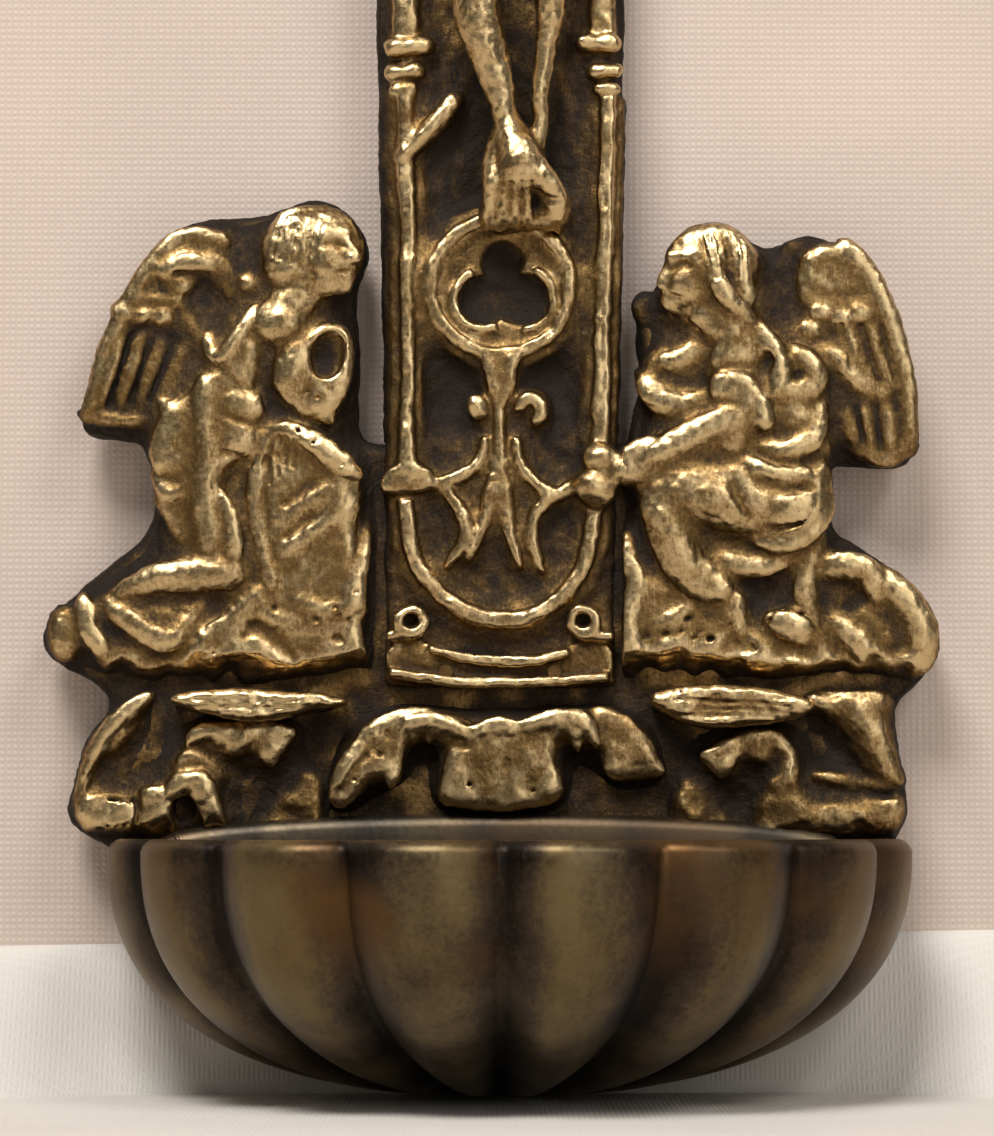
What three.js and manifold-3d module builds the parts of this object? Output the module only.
// Holy water stoup: a wall plate with two kneeling figures, a crucifix above and a gadrooned half bowl.
// Millimetres, +Z up. The wall is the plane Y = 0, the front looks to -Y, the bowl's rim lies at Z = 0.

import * as THREE from 'three';
import { mergeVertices } from 'three/addons/utils/BufferGeometryUtils.js';
import Module from 'manifold-3d';

const wasm = await Module();
wasm.setup();

// Driving dimensions of the two carrying castings
const PLATE_THICKNESS = 3;
const PLATE_EDGE = 0.9;
const TONGUE_DROP = 18;
const LAP_THICKNESS = 1.5;
const CROSS_EDGE = 0.9;
const CROSS_FOOT = 15.8;
const LAP_TOP = 40.4;
const SHAFT_HALF_FOOT = 11.6;
const SHAFT_HALF_HEAD = 12.5;
const SHAFT_HEAD = 85;
const CROSSBAR_HEIGHT = 131;
const CROSSBAR_HALF_WIDTH = 9;
const ARM_REACH = 36;
const CROSS_TOP = 153;
const HEAD_HALF_WIDTH = 9;
const BUD_RADIUS = 5;
const SIDE_BUD_RADIUS = 4.4;
const BUD_STEP = 3.6;
const SHAFT_FACE = LAP_THICKNESS;

// Driving dimensions of the raised work on the cross
const COLUMN_RADIUS = 0.9;
const UPPER_COLUMN_RADIUS = 1.26;
const COLUMN_INSETS = { left: 2.6, right: 1.6 };
const COLUMN_FOOT = 38;
const COLLAR_HEIGHT = 77.6;
const COLLAR_SPACING = 2.8;
const COLLAR_RADIUS = 1;
const TRACERY_HEIGHT = 56;
const TRACERY_RADIUS = 6.8;
const TRACERY_WIRE = 0.75;
const TRACERY_STEPS = 14;
const FOIL_RADIUS = 2.3;
const FOIL_WIRE = 0.45;
const BAND_WIRE = 0.6;

// Driving dimensions of the bowl
const BOWL_RADIUS = 40;
const BOWL_DEPTH = 24.4;
const BOWL_WALL = 2.8;
const BOWL_BACK = 3;
const BOWL_LIP = 2.5;
const LIP_REACH = 33.5;
const LOBES = 8;
const LOBE_DEPTH = 2.4;
const LOBE_STEPS = 5;
const BOWL_FULLNESS = 2.4;
const BOWL_RINGS = 6;

// Driving dimensions of the applied castings
const PAD_HEIGHT = 0.7;
const PAD_INSET = 0.5;
const ROCK_HEIGHT = 3.2;
const ROCK_EDGE = 0.8;
const WING_HEIGHT = 1.6;
const WING_EDGE = 0.5;
const LEDGE_HEIGHT = 5;
const LEDGE_EDGE = 0.5;
const LEFT_LEDGE = { from: -32.6, to: -15.6, height: 14.1, half: 1.1 };
const RIGHT_LEDGE = { from: 15, to: 30.6, height: 13.9, half: 1.5 };
const FIGURE_FLOOR = 16.2;
const STEP_HEIGHTS = [2.2, 3.2];
const STEP_EDGE = 0.3;
const STEP_SAG = 0.7;
const VOLUTE_RADIUS = 1.25;
const VOLUTE_WIRE = 0.6;
const VOLUTE_REACH = SHAFT_HALF_FOOT - 3;
const VOLUTE_HEIGHT = CROSS_FOOT + 6.4;
const FIGURE_CLEARANCE = 0.7;
const SCROLL_INNER = 18.6;
const SCROLL_TOP = 12.2;

// Fasteners, the hanging ring and the clearances
const SCREW_HEAD_RADIUS = 2.3;
const SCREW_SHANK_RADIUS = 1.1;
const RIVET_HEAD_RADIUS = 1.5;
const RIVET_SHANK_RADIUS = 0.7;
const NAIL_RADIUS = 0.5;
const NAIL_HEAD_RADIUS = 1.1;
const NAIL_BITE = 2;
const NAIL_HEAD_HEIGHT = 0.8;
const HAND_REACH = ARM_REACH - 3.4;
const HAND_HEIGHT = CROSSBAR_HEIGHT + 2.6;
const HAND_THICKNESS = 1.2;
const HAND_DEPTH = SHAFT_FACE + 1.8;
const BOSS_RADIUS = 2.8;
const BOSS_LENGTH = 2.6;
const BOSS_ROOT = 1;
const BOWL_SCREW_REACH = 14;
const BOWL_SCREW_DROP = 7;
const RING_RADIUS = 6;
const RING_WIRE = 0.8;
const EYE_WALL = 1;
const EYE_WIDTH = 2.5;
const EYE_CLEARANCE = 0.6;
const GAP = 0.3;
const EYE_HOLE = RING_WIRE + EYE_CLEARANCE;
const EYE_RADIUS = EYE_HOLE + EYE_WALL;
const EYE_HEIGHT = CROSS_TOP + BUD_STEP + BUD_RADIUS + EYE_HOLE;
const EYE_DEPTH = EYE_RADIUS - PLATE_THICKNESS;

const CUT_SIZE = 400;
const LIMB_SIDES = 5;
const WIRE_SIDES = 5;
const EGG_SIDES = 7;
const EGG_RINGS = 4;
const TURNED_SIDES = 8;
const BORE_SIDES = 14;
const THICK_LIMB = 2;

const FINISHES = {
  relief: { color: 0x8f7a4a, roughness: 0.42, metalness: 0.9 },
  ground: { color: 0x4a3c2c, roughness: 0.55, metalness: 0.85 },
  bowl: { color: 0x6a583a, roughness: 0.38, metalness: 0.9 },
  fixing: { color: 0x7a6840, roughness: 0.45, metalness: 0.9 },
};

// Solids and how they are joined, cut and placed

function solid(geometry) {
  const bare = geometry.clone();
  bare.deleteAttribute('normal');
  bare.deleteAttribute('uv');
  const merged = mergeVertices(bare, 1e-4);
  const mesh = new wasm.Mesh({
    numProp: 3,
    vertProperties: merged.attributes.position.array,
    triVerts: new Uint32Array(merged.index.array),
  });
  return new wasm.Manifold(mesh);
}

function geometryOf(made) {
  const mesh = made.getMesh();
  const geometry = new THREE.BufferGeometry();
  geometry.setAttribute('position', new THREE.BufferAttribute(new Float32Array(mesh.vertProperties), 3));
  geometry.setIndex(new THREE.BufferAttribute(new Uint32Array(mesh.triVerts), 1));
  geometry.computeVertexNormals();
  return geometry;
}

function joined(solids) {
  return solids.reduce((whole, next) => whole.add(next));
}

function block(x0, x1, y0, y1, z0, z1) {
  const geometry = new THREE.BoxGeometry(x1 - x0, y1 - y0, z1 - z0);
  geometry.translate((x0 + x1) / 2, (y0 + y1) / 2, (z0 + z1) / 2);
  return solid(geometry);
}

function inFrontOf(made, z) {
  return made.intersect(block(-CUT_SIZE, CUT_SIZE, -CUT_SIZE, CUT_SIZE, z, z + CUT_SIZE));
}

function above(made, y) {
  return made.intersect(block(-CUT_SIZE, CUT_SIZE, y, y + CUT_SIZE, -CUT_SIZE, CUT_SIZE));
}

function mirrored(points) {
  return points.map(([x, ...rest]) => [-x, ...rest]);
}

// Forms: a slab from an outline, a tapering limb, an egg, a bent bar, a hoop

function outlineOf(points) {
  const shape = new THREE.Shape();
  shape.moveTo(...points[0]);
  shape.splineThru(points.slice(1).map(([x, y]) => new THREE.Vector2(x, y)));
  shape.closePath();
  return shape;
}

function slab(shape, back, front, edge, inset = 0, curveSegments = 2) {
  const geometry = new THREE.ExtrudeGeometry(shape, {
    depth: front - back,
    steps: 1,
    curveSegments,
    bevelEnabled: edge + inset > 0,
    bevelThickness: edge,
    bevelSize: edge,
    bevelOffset: -edge - inset,
    bevelSegments: edge > 0 ? 1 : 0,
  });
  geometry.translate(0, 0, back - edge);
  return inFrontOf(solid(geometry), back);
}

function disc(x, y, radius, back, front, edge) {
  const shape = new THREE.Shape();
  shape.absarc(x, y, radius, 0, 2 * Math.PI);
  return slab(shape, back, front, edge, 0, 6);
}

// A limb is a turned profile bent along a curve: each knot is a place on it and the limb's radius there
function limb(knots) {
  const places = knots.map(([x, y, z]) => new THREE.Vector3(x, y, z));
  const path = new THREE.CatmullRomCurve3(places, false, 'chordal');
  const length = path.getLength();
  const spans = knots.length - 1;
  const radiusAt = (u) => {
    const place = path.getUtoTmapping(u) * spans;
    const knot = Math.min(Math.floor(place), spans - 1);
    return THREE.MathUtils.lerp(knots[knot][3], knots[knot + 1][3], place - knot);
  };
  const first = knots[0][3];
  const last = knots[spans][3];
  const thick = Math.max(first, last) >= THICK_LIMB;
  const profile = [new THREE.Vector2(0, -first)];
  if (thick) {
    profile.push(new THREE.Vector2(first * Math.SQRT1_2, -first * Math.SQRT1_2));
  }
  for (let i = 0; i <= spans; i += 1) {
    profile.push(new THREE.Vector2(radiusAt(i / spans), (i / spans) * length));
  }
  if (thick) {
    profile.push(new THREE.Vector2(last * Math.SQRT1_2, length + last * Math.SQRT1_2));
  }
  profile.push(new THREE.Vector2(0, length + last));
  const geometry = new THREE.LatheGeometry(profile, thick ? LIMB_SIDES : WIRE_SIDES);
  const frames = path.computeFrenetFrames(spans, false);
  const position = geometry.attributes.position;
  for (let i = 0; i < position.count; i += 1) {
    const along = THREE.MathUtils.clamp(position.getY(i), 0, length);
    const step = Math.round((along / length) * spans);
    const point = path.getPointAt(step / spans);
    point.addScaledVector(frames.tangents[step], position.getY(i) - along);
    point.addScaledVector(frames.normals[step], position.getZ(i));
    point.addScaledVector(frames.binormals[step], position.getX(i));
    position.setXYZ(i, point.x, point.y, point.z);
  }
  return solid(geometry);
}

function egg(x, y, z, radiusX, radiusY, radiusZ, turn = 0) {
  const geometry = new THREE.SphereGeometry(1, EGG_SIDES, EGG_RINGS);
  geometry.scale(radiusX, radiusY, radiusZ);
  geometry.rotateZ(turn);
  geometry.translate(x, y, z);
  return solid(geometry);
}

function bar(points, radius, steps) {
  const path = new THREE.CatmullRomCurve3(points.map((p) => new THREE.Vector3(...p)));
  const section = new THREE.Shape();
  for (let i = 0; i < WIRE_SIDES; i += 1) {
    const angle = (i / WIRE_SIDES) * 2 * Math.PI;
    const corner = [radius * Math.cos(angle), radius * Math.sin(angle)];
    if (i === 0) {
      section.moveTo(...corner);
    } else {
      section.lineTo(...corner);
    }
  }
  return solid(new THREE.ExtrudeGeometry(section, { extrudePath: path, steps }));
}

function hoop(x, y, z, radius, wire, steps) {
  const geometry = new THREE.TorusGeometry(radius, wire, WIRE_SIDES, steps);
  geometry.translate(x, y, z);
  return solid(geometry);
}

// A fastener stands along the wall's normal, its head flush with the plate's back

function fastenerSolid(x, y, kind, tip, clearance) {
  const head = kind.head + clearance;
  const shank = kind.shank + clearance;
  const coneEnd = kind.head - kind.shank;
  const end = tip + PLATE_THICKNESS + clearance;
  const start = clearance > 0 ? -1 : 0;
  const profile = [
    [0, start],
    [head - start, start],
    [shank, coneEnd],
    [shank, end],
    [0, end],
  ];
  const geometry = new THREE.LatheGeometry(profile.map(([r, h]) => new THREE.Vector2(r, h)), TURNED_SIDES);
  geometry.rotateX(Math.PI / 2);
  geometry.translate(x, y, -PLATE_THICKNESS);
  return solid(geometry);
}

const SCREW = { head: SCREW_HEAD_RADIUS, shank: SCREW_SHANK_RADIUS };
const RIVET = { head: RIVET_HEAD_RADIUS, shank: RIVET_SHANK_RADIUS };
const LAP_TIP = LAP_THICKNESS + STEP_HEIGHTS[0] - GAP;

// Each fastener: its name, where it stands, its kind and how far its tip reaches past the plate's front
const FASTENERS = {
  left_angel_screw_upper: [-26.4, 46, SCREW, 2.6],
  left_angel_screw_lower: [-22, 20.5, SCREW, 2.2],
  right_angel_screw_upper: [28.6, 44.6, SCREW, 2.6],
  right_angel_screw_lower: [18, 20.5, SCREW, 1.8],
  pedestal_rivet_left: [-5.4, 17.4, RIVET, LAP_TIP],
  pedestal_rivet_right: [5.4, 17.4, RIVET, LAP_TIP],
  cross_rivet: [0, 36, RIVET, LAP_THICKNESS - 0.5],
  left_ledge_rivet: [(LEFT_LEDGE.from + LEFT_LEDGE.to) / 2, LEFT_LEDGE.height, RIVET, LEDGE_HEIGHT / 2],
  right_ledge_rivet: [(RIGHT_LEDGE.from + RIGHT_LEDGE.to) / 2, RIGHT_LEDGE.height, RIVET, LEDGE_HEIGHT / 2],
  left_scroll_rivet: [-34.4, 4, RIVET, 2.2],
  right_scroll_rivet: [34.4, 4, RIVET, 2.2],
  acanthus_rivet: [0, 8, RIVET, 3],
  corpus_screw: [0.3, 112, RIVET, LAP_THICKNESS + 3],
  feet_screw: [1.8, 69.4, RIVET, LAP_THICKNESS + 3],
  bowl_screw_left: [-BOWL_SCREW_REACH, -BOWL_SCREW_DROP, SCREW, BOWL_BACK + BOSS_LENGTH / 2],
  bowl_screw_right: [BOWL_SCREW_REACH, -BOWL_SCREW_DROP, SCREW, BOWL_BACK + BOSS_LENGTH / 2],
};

const PEDESTAL_RIVETS = ['pedestal_rivet_left', 'pedestal_rivet_right'];
const CORPUS_SCREWS = ['corpus_screw', 'feet_screw'];

function drilled(made, names) {
  return names.reduce((left, name) => left.subtract(fastenerSolid(...FASTENERS[name], GAP)), made);
}

// Base plate: the silhouette of the lower scene, with a tongue behind the bowl

const LEFT_EDGE = [
  [-12.6, LAP_TOP],
  [-14.3, 42],
  [-14.2, 49],
  [-14.4, 55.5],
  [-13.2, 60],
  [-15.2, 63.6],
  [-19, 65],
  [-23.4, 63.6],
  [-28, 63.2],
  [-33, 61.8],
  [-37.4, 56.4],
  [-40.4, 49],
  [-42, 42.6],
  [-40.6, 41.2],
  [-36, 40.4],
  [-34.9, 36],
  [-35.2, 31.8],
  [-40, 27.5],
  [-45.4, 22.2],
  [-45, 19],
  [-39.8, 15.8],
  [-39.6, 13],
  [-42.4, 7],
  [-42.8, 2.6],
  [-39, 0],
];
const RIGHT_EDGE = [
  [39.2, 0.4],
  [40.7, 3.6],
  [39.9, 9],
  [39.6, 13.6],
  [42.4, 17],
  [44, 21],
  [41.8, 25.4],
  [36, 29.6],
  [33.2, 32.6],
  [33.4, 38],
  [36.6, 38.2],
  [41.2, 38.6],
  [41.6, 43],
  [40.2, 48.6],
  [38.2, 55.2],
  [34.8, 60],
  [31, 61.7],
  [26.8, 60.3],
  [22.4, 62.9],
  [18.2, 60.2],
  [15.4, 55.6],
  [13.8, 53.8],
  [14, 47],
  [12.8, LAP_TOP],
];

function sceneOutline() {
  const shape = new THREE.Shape();
  const curve = (points) => shape.splineThru(points.map(([x, y]) => new THREE.Vector2(x, y)));
  shape.moveTo(...LEFT_EDGE[0]);
  curve(LEFT_EDGE.slice(1));
  shape.bezierCurveTo(-34, -TONGUE_DROP * 0.8, -16, -TONGUE_DROP, 0, -TONGUE_DROP);
  shape.bezierCurveTo(16, -TONGUE_DROP, 34, -TONGUE_DROP * 0.8, ...RIGHT_EDGE[0]);
  curve(RIGHT_EDGE.slice(1));
  shape.closePath();
  return shape;
}

function basePlate() {
  const plate = slab(sceneOutline(), -PLATE_THICKNESS, 0, PLATE_EDGE);
  const passesPlate = (name) => {
    const [x, y] = FASTENERS[name];
    return y < LAP_TOP || Math.abs(x) > SHAFT_HALF_HEAD;
  };
  return drilled(plate, Object.keys(FASTENERS).filter(passesPlate));
}

// Ground of an applied casting: the plate's outline, drawn in, inside its own field
function pad(x0, x1, y0, y1) {
  const ground = slab(sceneOutline(), 0, PAD_HEIGHT, 0, PAD_INSET, 1);
  return ground.intersect(block(x0, x1, y0, y1, -1, PAD_HEIGHT + 1));
}

function casting(field, forms, fasteners) {
  const [x0, x1, y0, y1] = field;
  const bounds = block(x0, x1, y0, y1, 0, CUT_SIZE);
  const figure = joined(forms).intersect(bounds).add(pad(...field));
  return drilled(figure, fasteners);
}

const FEATHER_ROWS = {
  left: { count: 4, from: [-37.8, 51.8], to: [-39.6, 43.4], step: [2.1, -0.3], drift: [2.1, 0.4] },
  rightUpper: { count: 3, from: [37.8, 53], to: [39, 45.6], step: [-2.1, -0.8], drift: [-2.1, 0.4] },
  rightLower: { count: 3, from: [39.4, 44.8], to: [39.6, 40], step: [-2.1, 0], drift: [-1.5, 0.5] },
};

function feathers(row) {
  const { count, from, to, step, drift } = FEATHER_ROWS[row];
  const made = [];
  for (let i = 0; i < count; i += 1) {
    const root = [from[0] + i * step[0], from[1] + i * step[1], WING_HEIGHT, 1];
    const tip = [to[0] + i * drift[0], to[1] + i * drift[1], WING_HEIGHT, 0.8];
    made.push(limb([root, tip]));
  }
  return made;
}

// Kneeling figure on the left, looking to the right, with its wing behind it

function leftAngel() {
  const rock = outlineOf([
    [-31, 16],
    [-31, 19.5],
    [-28.6, 22.4],
    [-23.4, 26.8],
    [-18.6, 24],
    [-13, 22.6],
    [-13, 16],
  ]);
  const wing = outlineOf([
    [-25, 57],
    [-26.4, 61.8],
    [-33.4, 61],
    [-38, 55],
    [-41.2, 43.6],
    [-40, 42.2],
    [-34.4, 43],
    [-28, 50],
  ]);
  const forms = [
    slab(rock, 0, ROCK_HEIGHT, ROCK_EDGE),
    slab(wing, 0, WING_HEIGHT, WING_EDGE),
    // Head, jaw and neck
    egg(-18.4, 59.9, 4.2, 4.8, 4.7, 4.7),
    limb([[-17.4, 58.4, 5, 2.8], [-15.9, 56.7, 4.6, 2]]),
    limb([[-20, 57, 3.6, 2.4], [-22.2, 53, 4.4, 2.8], [-26.2, 49.6, 4.4, 2]]),
    // Joined hands in a hanging sleeve
    limb([[-20.6, 45.6, 4, 1.7], [-21.3, 48.6, 4.4, 1.6], [-19.2, 51.4, 4, 1.1], [-16.6, 51.6, 3.6, 0.9]]),
    limb([[-16.6, 51.6, 3.6, 0.9], [-15.8, 49, 3.8, 0.9], [-17.4, 46.4, 4.2, 1.5], [-20.6, 45.6, 4, 1.7]]),
    // Body, robe and the leg that kneels
    limb([[-24, 51, 2.6, 3.4], [-27.6, 45.4, 2.8, 3.6], [-30.2, 39.6, 2.4, 3.6]]),
    limb([[-28.8, 44, 4, 2.3], [-29, 36, 4, 2.4], [-27.6, 28.6, 3.4, 2.4]]),
    limb([[-27.6, 28.6, 3.4, 2.4], [-33, 26.9, 3, 1.8], [-38, 25, 2.4, 1.3]]),
    limb([[-32.8, 36.2, 3, 0.9], [-31.2, 35.2, 3.4, 0.9]]),
    // Train of the robe
    limb([[-39, 23.8, 2.2, 1.1], [-36, 21.4, 2.6, 1.3], [-33.4, 20.6, 2.6, 1.3], [-30, 24.2, 1.8, 0.9]]),
    limb([[-40.8, 24, 1.8, 1], [-41.8, 21, 2, 1.2], [-39.6, 18.2, 1.8, 1.2], [-31, 17.8, 1.8, 1.2]]),
    // Cloth over the raised knee, and the staff beside it
    limb([[-22, 38.4, 2, 2.8], [-16.8, 35.4, 2.6, 2.7], [-19, 29.6, 2, 2.3], [-22, 38.4, 2, 2.8]]),
    limb([[-22.6, 41.2, 3.2, 0.9], [-18, 39.4, 4, 1.1], [-14.9, 37, 3.8, 1.1]]),
    limb([[-23.6, 41.8, 2, 0.8], [-24.9, 35, 2.2, 0.9], [-23, 26.8, 2.8, 0.9]]),
    limb([[-13.9, 31.5, 1, 0.7], [-15, 24, 2.4, 1.1]]),
    // Wing: leading edge, coverts and long feathers
    bar([[-26.5, 61.2, 1.5], [-31, 61.6, 1.5], [-37, 56, 1.5], [-41, 44, 1.5]], 0.9, 5),
    egg(-31.5, 56.8, 0.9, 4.8, 4, 1.9, -0.5),
    ...feathers('left'),
  ];
  const field = [-CUT_SIZE, -SHAFT_HALF_FOOT - FIGURE_CLEARANCE, FIGURE_FLOOR, CUT_SIZE];
  return casting(field, forms, ['left_angel_screw_upper', 'left_angel_screw_lower']);
}

// Kneeling figure on the right, reaching for the cross

function rightAngel() {
  const rock = outlineOf([
    [13, 16],
    [13, 25.6],
    [18, 25],
    [25, 21.6],
    [33, 19.4],
    [33, 16],
  ]);
  const wing = outlineOf([
    [28, 55],
    [28.6, 60.4],
    [33, 61],
    [38, 54.6],
    [41, 42],
    [40.4, 39.4],
    [37, 39.4],
    [31, 48],
  ]);
  const forms = [
    slab(rock, 0, ROCK_HEIGHT, ROCK_EDGE),
    slab(wing, 0, WING_HEIGHT, WING_EDGE),
    // Head, jaw, hair and neck
    egg(21.3, 57.7, 4.2, 5, 4.7, 4.7),
    limb([[18.6, 55.6, 4.4, 2.4], [16.4, 53.9, 3.8, 1.7]]),
    limb([[20, 61, 6.8, 1.1], [23.2, 58.8, 8, 1.3], [25, 53.4, 5.2, 1.1]]),
    limb([[20.6, 54, 3.4, 2.4], [25, 50.8, 3.8, 2.9], [22.8, 47.2, 5, 2.4]]),
    // Cuff, forearm and hand, then the far hand
    limb([[21.2, 46.4, 5.6, 1.3], [24.6, 46.6, 6, 1.4], [27.4, 43, 4.4, 1.5]]),
    limb([[23.6, 43.8, 5.2, 2.1], [15.4, 38.8, 4.6, 1.6], [13.4, 37.2, 3.6, 1.4]]),
    limb([[16.2, 45.4, 2.4, 1.8], [20.6, 43.4, 2.8, 1.9]]),
    limb([[16.8, 46.8, 2, 1.6], [19.6, 48.8, 2, 2]]),
    // Body and folds at the waist
    limb([[25.8, 50, 2.4, 3.4], [29.8, 43.6, 2.6, 3.5], [30.6, 36, 3, 3.8]]),
    limb([[27, 51.4, 3.8, 1], [28.8, 48, 4.2, 1], [31, 46.2, 3.4, 1.5]]),
    limb([[26.6, 40, 4.8, 1], [30.6, 40.4, 5.4, 1.1], [32.4, 43, 4, 1.1]]),
    // Thigh, shin and both feet
    limb([[30.4, 34.2, 3.2, 3.8], [23.4, 34.6, 3.6, 3.6], [16.8, 34.8, 3.8, 2.6], [18.4, 29.6, 3.4, 1.9]]),
    limb([[18.4, 29.6, 3.4, 1.9], [20, 27, 3, 1.5], [23.6, 24.9, 2.6, 1.2], [24.9, 21, 2.6, 1.3]]),
    limb([[20.6, 30.6, 2, 0.9], [26, 28.4, 2.6, 1.1], [30.8, 30.4, 2.6, 1]]),
    limb([[27, 22.6, 2, 1.6], [30.4, 21.4, 2, 1.8]]),
    // Train of the robe
    limb([[32.4, 30, 2.2, 1.3], [31.4, 26, 2, 1.1], [32.4, 21, 1.8, 1.2]]),
    limb([[33.4, 27, 2, 1.4], [37.4, 27.4, 2, 1.5], [41.4, 24, 1.4, 1.4], [42, 19, 1.2, 1.3]]),
    egg(36.6, 20.8, 0.6, 3, 2.8, 1.8),
    limb([[14, 27.5, 1.6, 0.8], [14, 22, 2.8, 1.1], [15, 17.6, 2.6, 1.2]]),
    // Wing: leading edge, coverts and two tiers of long feathers
    bar([[29.4, 60, 1.5], [33.6, 60.3, 1.5], [38.4, 53.6, 1.5], [40.8, 40.6, 1.5]], 0.9, 5),
    egg(33.6, 56.6, 1, 4.2, 3.9, 2.3),
    ...feathers('rightUpper'),
    ...feathers('rightLower'),
  ];
  const field = [SHAFT_HALF_FOOT + FIGURE_CLEARANCE, CUT_SIZE, FIGURE_FLOOR, CUT_SIZE];
  return casting(field, forms, ['right_angel_screw_upper', 'right_angel_screw_lower']);
}

// Cross: a shaft that laps over the plate's front below and lies on the wall above

function shaftHalf(y) {
  const part = THREE.MathUtils.clamp((y - LAP_TOP) / (SHAFT_HEAD - LAP_TOP), 0, 1);
  return THREE.MathUtils.lerp(SHAFT_HALF_FOOT, SHAFT_HALF_HEAD, part);
}

function columnX(side, y) {
  return side === 'left' ? COLUMN_INSETS.left - shaftHalf(y) : shaftHalf(y) - COLUMN_INSETS.right;
}

function crossSlab(corners) {
  const shape = new THREE.Shape(corners.map(([x, y]) => new THREE.Vector2(x, y)));
  return slab(shape, -PLATE_THICKNESS, SHAFT_FACE, CROSS_EDGE);
}

function bud(x, y, radius) {
  return disc(x, y, radius, -PLATE_THICKNESS, SHAFT_FACE, CROSS_EDGE);
}

function crossGround() {
  const shaft = crossSlab([
    [-SHAFT_HALF_FOOT, CROSS_FOOT],
    [SHAFT_HALF_FOOT, CROSS_FOOT],
    [SHAFT_HALF_FOOT, LAP_TOP],
    [SHAFT_HALF_HEAD, SHAFT_HEAD],
    [SHAFT_HALF_HEAD, CROSSBAR_HEIGHT],
    [-SHAFT_HALF_HEAD, CROSSBAR_HEIGHT],
    [-SHAFT_HALF_HEAD, SHAFT_HEAD],
    [-SHAFT_HALF_FOOT, LAP_TOP],
  ]);
  const low = CROSSBAR_HEIGHT - CROSSBAR_HALF_WIDTH;
  const high = CROSSBAR_HEIGHT + CROSSBAR_HALF_WIDTH;
  const arms = crossSlab([
    [-ARM_REACH, low],
    [ARM_REACH, low],
    [ARM_REACH, high],
    [-ARM_REACH, high],
  ]);
  const head = crossSlab([
    [-HEAD_HALF_WIDTH, CROSSBAR_HEIGHT],
    [HEAD_HALF_WIDTH, CROSSBAR_HEIGHT],
    [HEAD_HALF_WIDTH, CROSS_TOP],
    [-HEAD_HALF_WIDTH, CROSS_TOP],
  ]);
  const buds = [bud(0, CROSS_TOP + BUD_STEP, BUD_RADIUS)];
  for (const side of [-1, 1]) {
    buds.push(bud(side * HEAD_HALF_WIDTH, CROSS_TOP, SIDE_BUD_RADIUS));
    buds.push(bud(side * (ARM_REACH + BUD_STEP), CROSSBAR_HEIGHT, BUD_RADIUS));
    buds.push(bud(side * ARM_REACH, low, SIDE_BUD_RADIUS));
    buds.push(bud(side * ARM_REACH, high, SIDE_BUD_RADIUS));
  }
  const whole = joined([shaft, arms, head, ...buds]);
  const lapFloor = LAP_TOP + GAP;
  return whole.subtract(block(-CUT_SIZE, CUT_SIZE, -CUT_SIZE, lapFloor, -CUT_SIZE, 0));
}

// Eye at the very top, bored along X for the ring

function ringEye() {
  const barrel = new THREE.CylinderGeometry(EYE_RADIUS, EYE_RADIUS, EYE_WIDTH, BORE_SIDES);
  barrel.rotateZ(Math.PI / 2);
  barrel.translate(0, EYE_HEIGHT, EYE_DEPTH);
  const neck = block(-EYE_WIDTH / 2, EYE_WIDTH / 2, EYE_HEIGHT - EYE_RADIUS - BUD_RADIUS / 2, EYE_HEIGHT,
    EYE_DEPTH - EYE_RADIUS, SHAFT_FACE - CROSS_EDGE);
  return solid(barrel).add(neck);
}

function eyeBore() {
  const bore = new THREE.CylinderGeometry(EYE_HOLE, EYE_HOLE, EYE_WIDTH * 2, BORE_SIDES);
  bore.rotateZ(Math.PI / 2);
  bore.translate(0, EYE_HEIGHT, EYE_DEPTH);
  return solid(bore);
}

function columns() {
  const made = [];
  for (const side of ['left', 'right']) {
    const at = (y) => [columnX(side, y), y, SHAFT_FACE];
    const top = CROSSBAR_HEIGHT - CROSSBAR_HALF_WIDTH - GAP;
    const neck = COLLAR_HEIGHT + COLLAR_SPACING;
    made.push(limb([[...at(COLUMN_FOOT), COLUMN_RADIUS], [...at(neck), COLUMN_RADIUS]]));
    made.push(limb([[...at(neck), UPPER_COLUMN_RADIUS], [...at(top), UPPER_COLUMN_RADIUS]]));
    for (const step of [0, 1]) {
      const [x, y, z] = at(COLLAR_HEIGHT + step * COLLAR_SPACING);
      const half = COLUMN_RADIUS + COLLAR_RADIUS / 2;
      made.push(limb([[x - half, y, z, COLLAR_RADIUS], [x + half, y, z, COLLAR_RADIUS]]));
    }
  }
  const leftX = columnX('left', COLUMN_FOOT);
  const rightX = columnX('right', COLUMN_FOOT);
  made.push(limb([[leftX, COLUMN_FOOT, SHAFT_FACE, 1.4], [leftX - 0.3, COLUMN_FOOT - 1.6, SHAFT_FACE, 1.9]]));
  made.push(egg(rightX - 0.2, COLUMN_FOOT + 0.8, SHAFT_FACE, 1.7, 1.6, 2));
  made.push(egg(rightX - 0.4, COLUMN_FOOT - 2.1, SHAFT_FACE, 1.8, 1.8, 2.1));
  return made;
}

function borders() {
  const rim = CROSSBAR_HALF_WIDTH - COLUMN_RADIUS * 2;
  const inner = SHAFT_HALF_HEAD - COLUMN_RADIUS;
  const made = [];
  for (const side of [-1, 1]) {
    for (const edge of [-rim, rim]) {
      const y = CROSSBAR_HEIGHT + edge;
      const from = [side * inner, y, SHAFT_FACE, COLUMN_RADIUS];
      made.push(limb([from, [side * ARM_REACH, y, SHAFT_FACE, COLUMN_RADIUS]]));
    }
    const x = side * (HEAD_HALF_WIDTH - COLUMN_RADIUS * 2);
    const foot = CROSSBAR_HEIGHT + rim;
    made.push(limb([[x, foot, SHAFT_FACE, COLUMN_RADIUS], [x, CROSS_TOP, SHAFT_FACE, COLUMN_RADIUS]]));
  }
  return made;
}

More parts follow.
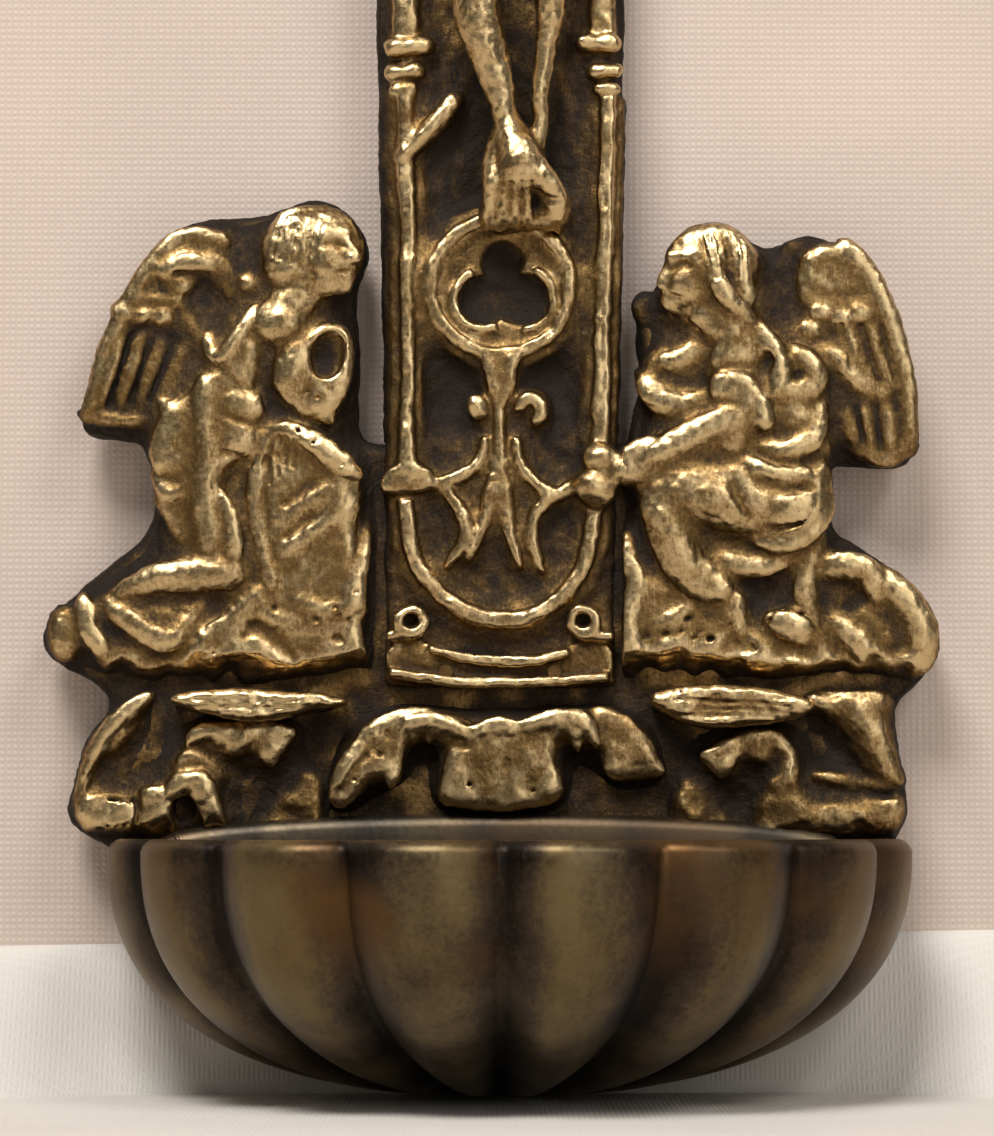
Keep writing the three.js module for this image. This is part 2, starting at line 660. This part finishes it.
// Tracery: a ring round three foils, a vase, its stem, curved branches and a U band

function tracery() {
  const z = SHAFT_FACE;
  const flat = (points) => points.map(([x, y]) => [x, y, z]);
  const made = [hoop(0, TRACERY_HEIGHT, z, TRACERY_RADIUS, TRACERY_WIRE, TRACERY_STEPS)];
  for (const turn of [90, 210, 330]) {
    const angle = THREE.MathUtils.degToRad(turn);
    const x = FOIL_RADIUS * Math.cos(angle);
    const y = TRACERY_HEIGHT + FOIL_RADIUS * Math.sin(angle);
    made.push(hoop(x, y, z, FOIL_RADIUS, FOIL_WIRE, 7));
  }
  made.push(limb([[0, 48.4, z, 1.6], [0, 44.4, z, 0.6], [0, 40, z, 0.6], [0, 36, z, 1.1]]));
  made.push(limb([[0, 36, z, 1.1], [-2.4, 30.2, z, 0.6]]));
  made.push(limb([[0, 36, z, 1.1], [1.8, 29, z, 0.6]]));
  made.push(egg(-2.4, 43.8, z, 1, 1, 1));
  made.push(egg(3, 43.2, z, 1.1, 1.1, 1));
  const branch = [[0.6, 41.4], [1.9, 38.4], [4.4, 35.9], [7.2, 35.6], [9.4, 36.6]];
  const spur = [[5.6, 35.4], [3.6, 32.8], [3.2, 30.6], [4.4, 28.4]];
  for (const curve of [branch, spur]) {
    made.push(bar(flat(curve), BAND_WIRE, 4));
    made.push(bar(flat(mirrored(curve)), BAND_WIRE, 4));
  }
  const band = [[9.6, 36], [9, 30.6], [6.5, 25.4], [0, 22.5], [-6.5, 25.4], [-9, 30.6], [-9.4, 36]];
  made.push(bar(flat(band), BAND_WIRE * 1.5, 8));
  return made;
}

function cross() {
  const raised = inFrontOf(joined([...columns(), ...borders(), ...tracery()]), 0);
  const whole = crossGround().add(raised).add(ringEye()).subtract(eyeBore());
  const nails = Object.values(HAND_NAILS).map(([x, y]) => nailSolid(x, y, GAP));
  const open = nails.reduce((left, nail) => left.subtract(nail), whole);
  return drilled(open, [...PEDESTAL_RIVETS, 'cross_rivet', ...CORPUS_SCREWS]);
}

// Corpus: slender figure hung from the arms of the cross, feet one on the other

const HAND_NAILS = {
  left_hand_nail: [-HAND_REACH, HAND_HEIGHT],
  right_hand_nail: [HAND_REACH, HAND_HEIGHT],
};

function nailSolid(x, y, clearance) {
  const front = HAND_DEPTH + HAND_THICKNESS + clearance;
  const back = SHAFT_FACE - NAIL_BITE - clearance;
  const shaft = NAIL_RADIUS + clearance;
  const head = clearance > 0 ? shaft : NAIL_HEAD_RADIUS;
  const profile = [
    [0, back],
    [shaft, back],
    [shaft, front + GAP],
    [head, front + GAP],
    [head * 0.7, front + GAP + NAIL_HEAD_HEIGHT * 0.75],
    [0, front + GAP + NAIL_HEAD_HEIGHT],
  ];
  const geometry = new THREE.LatheGeometry(profile.map(([r, h]) => new THREE.Vector2(r, h)), TURNED_SIDES);
  geometry.rotateX(Math.PI / 2);
  geometry.translate(x, y, 0);
  return solid(geometry);
}

function corpus() {
  const forms = [
    // Feet and legs
    limb([[0.6, 74, 5.6, 1.6], [1.6, 69, 6.2, 2.2], [2.4, 65, 6.6, 2.8]]),
    egg(2.6, 64.4, 6.2, 4, 2.4, 2.5),
    limb([[1.8, 70.6, 3, 2.2], [1.8, 68.4, 3, 2.2]]),
    limb([[0.6, 74, 5.4, 1.6], [-1.8, 82, 5.6, 2.3], [-2.8, 93, 6.6, 2.4], [-3.2, 110, 4.8, 3.6]]),
    limb([[3.6, 72, 4.6, 1.4], [4.8, 82, 5.2, 2], [4.4, 93, 6.6, 2.4], [3.4, 110, 4.8, 3.5]]),
    // Loincloth with its hanging end
    egg(0.2, 108.4, 4.6, 7.2, 4.8, 4.2),
    limb([[6.6, 109.6, 4.6, 1.7], [8, 103, 4, 1.2]]),
    // Body, neck and head bowed to one side
    limb([[0.3, 112, 4.2, 4.8], [0.2, 117, 4.4, 4.5], [0, 123, 4.6, 5]]),
    egg(0, 123.6, 4.6, 6.8, 4.4, 3.8),
    limb([[0, 126.6, 5.2, 2.1], [-1, 130, 6.2, 2]]),
    egg(-1.7, 133.2, 6.8, 3.5, 4.4, 4),
  ];
  for (const side of [-1, 1]) {
    const hand = [side * HAND_REACH, HAND_HEIGHT, HAND_DEPTH];
    const elbow = [side * (HAND_REACH - 14), HAND_HEIGHT - 4.8, 4.2, 2.1];
    const wrist = [side * (HAND_REACH - 4), HAND_HEIGHT - 1.4, 3.8, 1.5];
    forms.push(limb([[side * 5.4, 125.8, 4.8, 2.8], elbow, wrist, [...hand, HAND_THICKNESS]]));
    forms.push(egg(...hand, 2.4, 2, HAND_THICKNESS));
  }
  const figure = inFrontOf(joined(forms), SHAFT_FACE);
  const nails = Object.values(HAND_NAILS).map(([x, y]) => nailSolid(x, y, GAP));
  const open = nails.reduce((left, nail) => left.subtract(nail), figure);
  const ring = hoop(0, TRACERY_HEIGHT, SHAFT_FACE, TRACERY_RADIUS, TRACERY_WIRE + GAP, TRACERY_STEPS);
  return drilled(open.subtract(ring), CORPUS_SCREWS);
}

// Foot of the cross: two bowed steps between a pair of volutes

function bowedBand(half, foot, width, front) {
  const low = CROSS_FOOT + foot;
  const high = low + width;
  const shape = new THREE.Shape();
  shape.moveTo(-half, low);
  shape.quadraticCurveTo(0, low - 2 * STEP_SAG, half, low);
  shape.lineTo(half, high);
  shape.quadraticCurveTo(0, high - 2 * STEP_SAG, -half, high);
  shape.closePath();
  return slab(shape, SHAFT_FACE, SHAFT_FACE + front, STEP_EDGE, 0, 4);
}

function pedestal() {
  const forms = [
    bowedBand(SHAFT_HALF_FOOT - GAP, 1.1, 1.6, STEP_HEIGHTS[1]),
    bowedBand(SHAFT_HALF_FOOT - 4, 3.4, 1.3, STEP_HEIGHTS[0]),
    bowedBand(SHAFT_HALF_FOOT - 1.6, 1.6, 3.4, PAD_HEIGHT),
  ];
  for (const side of [-1, 1]) {
    forms.push(hoop(side * VOLUTE_REACH, VOLUTE_HEIGHT, SHAFT_FACE + VOLUTE_WIRE, VOLUTE_RADIUS, VOLUTE_WIRE, 12));
  }
  const whole = inFrontOf(joined(forms), SHAFT_FACE);
  return drilled(above(whole, CROSS_FOOT), PEDESTAL_RIVETS);
}

// Ledges under the figures, each a lens drawn between two points

function ledge({ from, to, height, half }, rivet) {
  const middle = (from + to) / 2;
  const shape = new THREE.Shape();
  shape.moveTo(from, height);
  shape.quadraticCurveTo(middle, height - 2 * half, to, height);
  shape.quadraticCurveTo(middle, height + 2 * half, from, height);
  return drilled(slab(shape, 0, LEDGE_HEIGHT, LEDGE_EDGE, 0, 6), [rivet]);
}

// Leaf ornament above the bowl

function acanthus() {
  const forms = [
    block(-10, 10, 6.4, 11, 0, PAD_HEIGHT * 2),
    limb([[0, 11.4, 2.2, 1.6], [0, 8, 3.2, 2.1], [0, 5.4, 3.4, 1.7]]),
  ];
  const side = [
    [[3.4, 11.4, 2.2, 1.6], [3.4, 8, 3, 1.9], [2.9, 5.2, 3.2, 1.4]],
    [[4.6, 11.6, 2.4, 1.3], [7.8, 12, 2.6, 1.1], [9.6, 10.4, 2.2, 1]],
    [[8.6, 11.4, 2.2, 1.3], [13, 10, 2.4, 1.6], [15.4, 7, 2, 1.3], [15.8, 5.2, 1.4, 0.7]],
  ];
  for (const points of side) {
    forms.push(limb(points));
    forms.push(limb(mirrored(points)));
  }
  return drilled(inFrontOf(joined(forms), 0), ['acanthus_rivet']);
}

// Scrolled rockwork at both sides of the leaf

function lipSolid(grow, front) {
  const shape = new THREE.Shape();
  shape.moveTo(LIP_REACH + grow, -BOWL_WALL);
  shape.lineTo(LIP_REACH + grow, 0);
  shape.absellipse(0, 0, LIP_REACH + grow, BOWL_LIP + grow, 0, Math.PI);
  shape.lineTo(-LIP_REACH - grow, -BOWL_WALL);
  shape.closePath();
  return slab(shape, 0, front, 0, 0, 10);
}

function scroll(side, rivet) {
  const outer = [[35.4, 13.6, 1.6, 0.9], [39, 10, 1.4, 1], [39.8, 5.4, 1.4, 1], [38.2, 2.6, 1.8, 1.5]];
  const lump = [[38.2, 2.6, 1.8, 1.5], [34.4, 4, 2, 1.7]];
  const hook = [[34.4, 4, 2, 1.7], [32, 5.8, 2, 1], [29.8, 5.8, 2.2, 1], [28.6, 3.6, 2, 1.1]];
  const leaf = [[30.2, 9.6, 1.8, 1.2], [27.2, 10.6, 2.2, 1.3], [24.4, 9.8, 2.2, 1.3], [21.4, 10.6, 1.8, 1.1]];
  const spur = [[24, 3.8, 1.2, 1.2], [20.4, 5, 1.1, 1.1]];
  const curves = [outer, lump, hook, leaf, spur].map((points) => limb(side < 0 ? mirrored(points) : points));
  const across = side < 0 ? [-CUT_SIZE, -SCROLL_INNER] : [SCROLL_INNER, CUT_SIZE];
  const field = [...across, GAP, SCROLL_TOP];
  return casting(field, curves, [rivet]).subtract(lipSolid(GAP, CUT_SIZE));
}

// Bowl: half of a lobed turned form with a flat back wall, a lip behind and two screw bosses

function lobedBody(radius, depth) {
  const profile = [];
  for (let i = 0; i <= BOWL_RINGS; i += 1) {
    const angle = (i / BOWL_RINGS) * (Math.PI / 2);
    const r = radius * Math.pow(Math.sin(angle), 2 / BOWL_FULLNESS);
    const y = -depth * Math.pow(Math.cos(angle), 2 / BOWL_FULLNESS);
    profile.push(new THREE.Vector2(i === 0 ? 0 : r, i === BOWL_RINGS ? 0 : y));
  }
  profile.push(new THREE.Vector2(0, 0));
  const geometry = new THREE.LatheGeometry(profile, 2 * LOBES * LOBE_STEPS);
  const position = geometry.attributes.position;
  for (let i = 0; i < position.count; i += 1) {
    const ring = i % profile.length;
    const climb = Math.min(ring / BOWL_RINGS, 1) * (Math.PI / 2);
    const angle = Math.atan2(position.getX(i), position.getZ(i));
    const valley = 1 - Math.abs(Math.sin(LOBES * angle));
    const draw = LOBE_DEPTH * valley * Math.min(1, 2 * Math.sin(climb));
    if (ring > 0 && ring <= BOWL_RINGS) {
      position.setX(i, position.getX(i) - draw * Math.sin(climb) * Math.sin(angle));
      position.setZ(i, position.getZ(i) - draw * Math.sin(climb) * Math.cos(angle));
    }
    if (ring < BOWL_RINGS) {
      position.setY(i, position.getY(i) + draw * Math.cos(climb));
    }
  }
  return solid(geometry);
}

function bowl() {
  const outside = inFrontOf(lobedBody(BOWL_RADIUS, BOWL_DEPTH), 0);
  const hollow = lobedBody(BOWL_RADIUS - BOWL_WALL, BOWL_DEPTH - BOWL_WALL);
  const shell = outside.subtract(inFrontOf(hollow, BOWL_BACK));
  const bosses = [-1, 1].map((side) => {
    const geometry = new THREE.CylinderGeometry(BOSS_RADIUS, BOSS_RADIUS, BOSS_LENGTH + BOSS_ROOT, 12);
    geometry.rotateX(Math.PI / 2);
    geometry.translate(side * BOWL_SCREW_REACH, -BOWL_SCREW_DROP, BOWL_BACK + (BOSS_LENGTH - BOSS_ROOT) / 2);
    return solid(geometry);
  });
  const whole = joined([shell, lipSolid(0, BOWL_BACK), ...bosses]);
  return drilled(whole, ['bowl_screw_left', 'bowl_screw_right']);
}

// Hanging ring, leaning back on the wall

function hangingRing() {
  const lean = Math.asin((EYE_DEPTH + PLATE_THICKNESS - RING_WIRE - GAP / 2) / (2 * RING_RADIUS));
  const geometry = new THREE.TorusGeometry(RING_RADIUS, RING_WIRE, 6, 24);
  geometry.translate(0, RING_RADIUS, 0);
  geometry.rotateX(-lean);
  geometry.translate(0, EYE_HEIGHT, EYE_DEPTH);
  return solid(geometry);
}

// Assembly: in the relief group x runs to the right, y up and z out from the plate's front

const stoup = new THREE.Group();
const relief = new THREE.Group();
relief.rotation.x = Math.PI / 2;
relief.position.y = -PLATE_THICKNESS;
stoup.add(relief);

function put(name, made, finish) {
  const mesh = new THREE.Mesh(geometryOf(made), new THREE.MeshStandardMaterial(FINISHES[finish]));
  mesh.name = name;
  relief.add(mesh);
}

put('base_plate', basePlate(), 'ground');
put('cross', cross(), 'relief');
put('corpus', corpus(), 'relief');
put('left_angel', leftAngel(), 'relief');
put('right_angel', rightAngel(), 'relief');
put('cross_pedestal', pedestal(), 'relief');
put('left_ledge', ledge(LEFT_LEDGE, 'left_ledge_rivet'), 'relief');
put('right_ledge', ledge(RIGHT_LEDGE, 'right_ledge_rivet'), 'relief');
put('acanthus', acanthus(), 'relief');
put('left_scroll', scroll(-1, 'left_scroll_rivet'), 'relief');
put('right_scroll', scroll(1, 'right_scroll_rivet'), 'relief');
put('bowl', bowl(), 'bowl');
for (const [name, [x, y]] of Object.entries(HAND_NAILS)) {
  put(name, nailSolid(x, y, 0), 'fixing');
}
for (const [name, [x, y, kind, tip]] of Object.entries(FASTENERS)) {
  put(name, fastenerSolid(x, y, kind, tip, 0), 'fixing');
}
put('hanging_ring', hangingRing(), 'fixing');

export default stoup;
